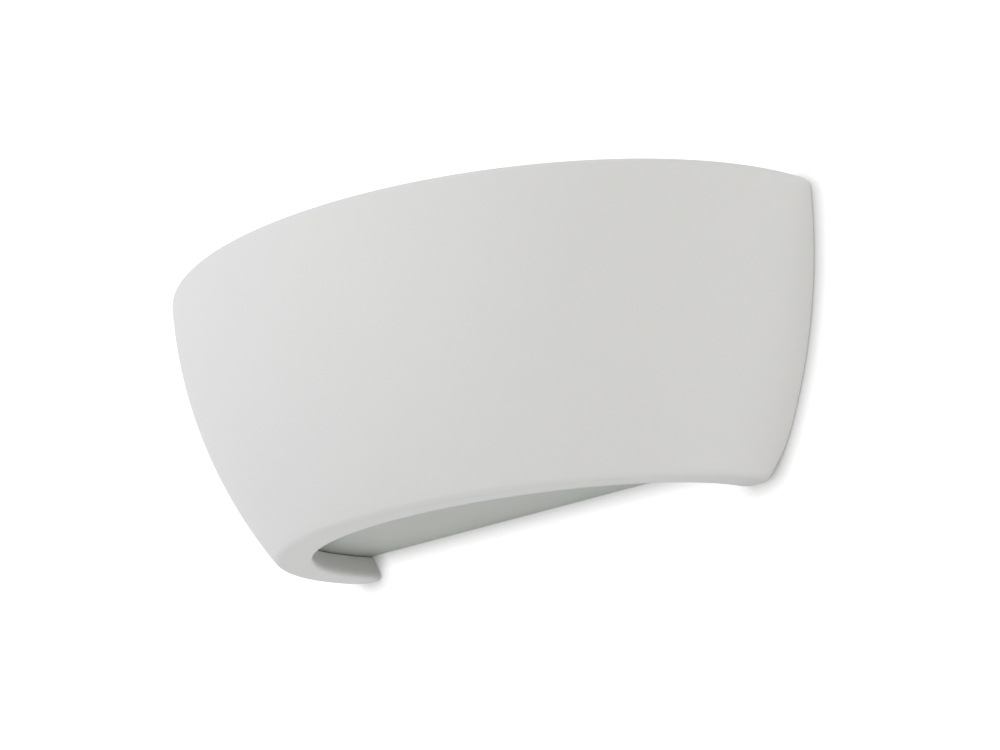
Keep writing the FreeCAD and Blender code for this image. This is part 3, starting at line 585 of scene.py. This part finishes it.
def end_ring(section, along, out):
    """The section at a distance out from the wall, on a return, rounded over near the wall."""
    low = rounded_by(BASE_END_ROUND, out)
    high = rounded_by(RIM_END_ROUND, out)
    ring = []
    for height, inset in section:
        above_ledge = height > LEDGE_HEIGHT or inset <= UPPER_WALL and height == LEDGE_HEIGHT
        wall = UPPER_WALL if above_ledge else BASE_WALL
        outside = rounded_by(end_radius("outside", height), out)
        inside = rounded_by(end_radius("inside", height), out)
        new_inset = outside + inset * (wall - outside - inside) / wall
        if height < 2 * BASE_END_ROUND:
            height = low + height * (1 - low / (2 * BASE_END_ROUND))
        elif height > SHELL_HEIGHT - 2 * RIM_END_ROUND:
            height = SHELL_HEIGHT - high - (SHELL_HEIGHT - height) * (1 - high / (2 * RIM_END_ROUND))
        point = plan_point(along, height, new_inset)
        ring.append(Vector((point.x, -out, point.z)))
    return ring


def build_shell():
    section = shell_section()
    outs = [SIDE_RETURN * (step / END_STEPS) ** 2 for step in range(END_STEPS)]
    rings = [end_ring(section, 0.0, out) for out in outs]
    for step in range(PLAN_STEPS + 1):
        rings.append([plan_point(step / PLAN_STEPS, height, inset) for height, inset in section])
    rings += [end_ring(section, 1.0, out) for out in outs[::-1]]
    mesh = bmesh.new()
    rings = [[mesh.verts.new(point) for point in ring] for ring in rings]
    size = len(section)
    for first, second in zip(rings, rings[1:]):
        for index in range(size):
            following = (index + 1) % size
            mesh.faces.new((first[index], second[index], second[following], first[following]))
    mesh.faces.new(rings[0][::-1])
    mesh.faces.new(rings[-1])
    bmesh.ops.recalc_face_normals(mesh, faces=mesh.faces[:])
    bmesh.ops.triangulate(mesh, faces=[face for face in mesh.faces if len(face.verts) > 4])
    data = bpy.data.meshes.new("shell_cast")
    mesh.to_mesh(data)
    mesh.free()
    data.shade_smooth()
    data.set_sharp_from_angle(angle=math.radians(CREASE_DEGREES))
    piece = bpy.data.objects.new("shell_cast", data)
    bpy.context.scene.collection.objects.link(piece)
    return piece


def plaster():
    """Matt casting plaster: nearly white, with faint warm blotches, fine pores and soft sanding marks."""
    material = finish_of("casting_plaster", (0.742, 0.742, 0.737), (0.716, 0.714, 0.698), 0.86, spread=0.08,
                         blotch_scale=14.0, blotch_share=0.6, grain_scale=1100.0, grain_depth=0.00005,
                         worn=(0.78, 0.78, 0.775), wear=0.4)
    tree = material.node_tree
    shader = tree.nodes["Principled BSDF"]
    shader.inputs["Specular IOR Level"].default_value = 0.3
    fine = shader.inputs["Normal"].links[0].from_socket
    place = tree.nodes.new("ShaderNodeTexCoord").outputs["Object"]
    swell = noise(tree, place, SWELL_SCALE, detail=2.0)
    bump(tree, swell, SWELL_DEPTH, SWELL_STRENGTH, shader, fine)
    return material


shell = build_shell()
shell.data.materials.append(plaster())
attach(shell, "shell")
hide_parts("plaster_shell")


# ---------------------------------------------------------------------------------------------------
# Hangers and pads. Slotted zinc-plated plates cast into the shell's walls drop over the wall plate's
# tongues. Five silicone dots on the ledge keep the pane from rattling.
# ---------------------------------------------------------------------------------------------------

dress(["hanger_left", "hanger_right"], zinc)
silicone = finish_of("pad_silicone", (0.7, 0.7, 0.68), (0.6, 0.6, 0.57), 0.4, blotch_scale=500.0)
dress(["pane_pads"], silicone)


# ---------------------------------------------------------------------------------------------------
# Frosted pane. A loose D of 4 mm glass, acid-etched to a faint green white, its edges ground. It lies
# on the ledge inside the shell's foot and softens the light that falls down the wall.
# ---------------------------------------------------------------------------------------------------


def frosted_glass():
    material = bpy.data.materials.new("frosted_glass")
    material.use_nodes = True
    tree = material.node_tree
    shader = tree.nodes["Principled BSDF"]
    look = placed(tree, mottle, Colour=(0.65, 0.68, 0.635, 1), Blotch_Colour=(0.59, 0.625, 0.575, 1),
                  Blotch_Scale=22.0, Blotch_Share=0.4, Roughness=0.55, Roughness_Spread=0.12,
                  Grain_Scale=2600.0)
    tree.links.new(look.outputs["Colour"], shader.inputs["Base Color"])
    tree.links.new(look.outputs["Roughness"], shader.inputs["Roughness"])
    bump(tree, look.outputs["Height"], distance=0.00004, strength=0.5, shader=shader)
    shader.inputs["Transmission Weight"].default_value = 0.35
    shader.inputs["IOR"].default_value = 1.5
    return material


dress(["glass_pane"], frosted_glass())


# ---------------------------------------------------------------------------------------------------
# Studio. A white wall that the sconce hangs on, a pale floor well below it, and soft light from the
# upper left and the right. Near the sconce the wall darkens, from its real shadow and a painted contact
# shadow.
# ---------------------------------------------------------------------------------------------------

WALL_GAP = 0.0004
FLOOR_Z = -1.1
STAGE_REACH = 6.0
STAGE_COLOUR = (0.85, 0.85, 0.85, 1)
STAGE_SEEN_COLOUR = (0.3, 0.3, 0.3, 1)
STAGE_GLOW = 0.9
# Reach of the painted contact shadow on the wall.
CONTACT_SHADE_REACH = 0.008
BACK_GAP = 0.0009
BACK_GLOW = 0.3


def stage_material(name):
    """White that fills up to pure white where it is seen, darkens near the sconce with a painted contact
    shadow, and is open from behind.
    """
    material = bpy.data.materials.new(name)
    material.use_nodes = True
    tree = material.node_tree
    tree.nodes.clear()
    out = tree.nodes.new("ShaderNodeOutputMaterial")
    path = tree.nodes.new("ShaderNodeLightPath")
    seen = maths(tree, "MAXIMUM", path.outputs["Is Camera Ray"], path.outputs["Is Glossy Ray"])
    seen = maths(tree, "MAXIMUM", seen, path.outputs["Is Transmission Ray"])
    diffuse = tree.nodes.new("ShaderNodeBsdfDiffuse")
    tree.links.new(mixed(tree, seen, STAGE_COLOUR, STAGE_SEEN_COLOUR), diffuse.inputs["Color"])
    # Ambient occlusion dims the glow seen near the sconce: a painted contact shadow.
    contact = tree.nodes.new("ShaderNodeAmbientOcclusion")
    contact.inputs["Distance"].default_value = CONTACT_SHADE_REACH
    light = tree.nodes.new("ShaderNodeEmission")
    shaded_glow = maths(tree, "MULTIPLY", maths(tree, "MULTIPLY", contact.outputs["AO"], STAGE_GLOW), seen)
    touching = maths(tree, "LESS_THAN", path.outputs["Ray Length"], BACK_GAP)
    back_light = maths(tree, "MULTIPLY", touching, BACK_GLOW)
    tree.links.new(maths(tree, "ADD", shaded_glow, back_light), light.inputs["Strength"])
    both = tree.nodes.new("ShaderNodeAddShader")
    tree.links.new(diffuse.outputs[0], both.inputs[0])
    tree.links.new(light.outputs[0], both.inputs[1])
    clear = tree.nodes.new("ShaderNodeBsdfTransparent")
    choose = tree.nodes.new("ShaderNodeMixShader")
    behind = tree.nodes.new("ShaderNodeNewGeometry").outputs["Backfacing"]
    tree.links.new(behind, choose.inputs[0])
    tree.links.new(both.outputs[0], choose.inputs[1])
    tree.links.new(clear.outputs[0], choose.inputs[2])
    tree.links.new(choose.outputs[0], out.inputs[0])
    return material


def stage_sheet(name, corners, material):
    data = bpy.data.meshes.new(name)
    data.from_pydata(corners, [], [tuple(range(len(corners)))])
    data.materials.append(material)
    piece = bpy.data.objects.new(name, data)
    bpy.context.scene.collection.objects.link(piece)


stage_white = stage_material("stage_white")
foot_line = [(-STAGE_REACH, WALL_GAP, FLOOR_Z), (STAGE_REACH, WALL_GAP, FLOOR_Z)]
wall_top = [(STAGE_REACH, WALL_GAP, STAGE_REACH), (-STAGE_REACH, WALL_GAP, STAGE_REACH)]
floor_front = [(-STAGE_REACH, -STAGE_REACH, FLOOR_Z), (STAGE_REACH, -STAGE_REACH, FLOOR_Z)]
stage_sheet("wall_stage", foot_line + wall_top, stage_white)
stage_sheet("floor_stage", floor_front + foot_line[::-1], stage_white)


def soft_lamp(name, place, target, size, power, colour):
    data = bpy.data.lights.new(name, "AREA")
    data.shape = "DISK"
    data.size = size
    data.energy = power
    data.color = colour
    lamp = bpy.data.objects.new(name, data)
    lamp.location = place
    lamp.rotation_euler = (Vector(target) - Vector(place)).to_track_quat("-Z", "Y").to_euler()
    bpy.context.scene.collection.objects.link(lamp)


MIDDLE = (0.0, -0.06, -0.015)
LAMP_SIZE = 1.6
COOL_WHITE = (0.97, 0.98, 1.0)
WARM_WHITE = (1.0, 0.975, 0.92)
SKY_LEVEL = 0.62
soft_lamp("key", (-1.2, -2.0, 0.8), MIDDLE, LAMP_SIZE, power=24.5, colour=COOL_WHITE)
soft_lamp("fill", (2.4, -0.8, 0.15), MIDDLE, LAMP_SIZE, power=11.0, colour=WARM_WHITE)

world = bpy.data.worlds.new("studio")
bpy.context.scene.world = world
world.use_nodes = True
sky = world.node_tree.nodes["Background"]
sky_path = world.node_tree.nodes.new("ShaderNodeLightPath")
sky_seen = maths(world.node_tree, "MAXIMUM", sky_path.outputs["Is Camera Ray"],
                 sky_path.outputs["Is Transmission Ray"])
world.node_tree.links.new(maths(world.node_tree, "MAXIMUM", sky_seen, SKY_LEVEL), sky.inputs["Strength"])
sky.inputs["Color"].default_value = (1, 1, 1, 1)


# ---------------------------------------------------------------------------------------------------
# Camera. Below the sconce and to its right, looking up at it, tilted a little as the picture is.
# ---------------------------------------------------------------------------------------------------

AZIMUTH = 0.77
BELOW = 0.2291
ROLL = -0.0872
DISTANCE = 0.9948
LENS_MM = 85.38
SENSOR_MM = 36.0
SHIFT = (0.0129, 0.0320)
AIM = Vector((0.0, -0.0321, -0.0145))

back = Vector((math.sin(AZIMUTH) * math.cos(BELOW), -math.cos(AZIMUTH) * math.cos(BELOW), -math.sin(BELOW)))
level = (-back).cross(Vector((0, 0, 1))).normalized()
upright = level.cross(-back)
right = level * math.cos(ROLL) + upright * math.sin(ROLL)
top = upright * math.cos(ROLL) - level * math.sin(ROLL)
lens = bpy.data.cameras.new("camera")
lens.lens = LENS_MM
lens.sensor_width = SENSOR_MM
lens.shift_x, lens.shift_y = SHIFT
lens.clip_start = 0.01
lens.clip_end = 50.0
camera = bpy.data.objects.new("camera", lens)
place = AIM + back * DISTANCE
camera.matrix_world = Matrix(((right.x, top.x, back.x, place.x), (right.y, top.y, back.y, place.y),
                              (right.z, top.z, back.z, place.z), (0, 0, 0, 1)))
bpy.context.scene.collection.objects.link(camera)
bpy.context.scene.camera = camera
bpy.context.scene.view_settings.view_transform = "Standard"
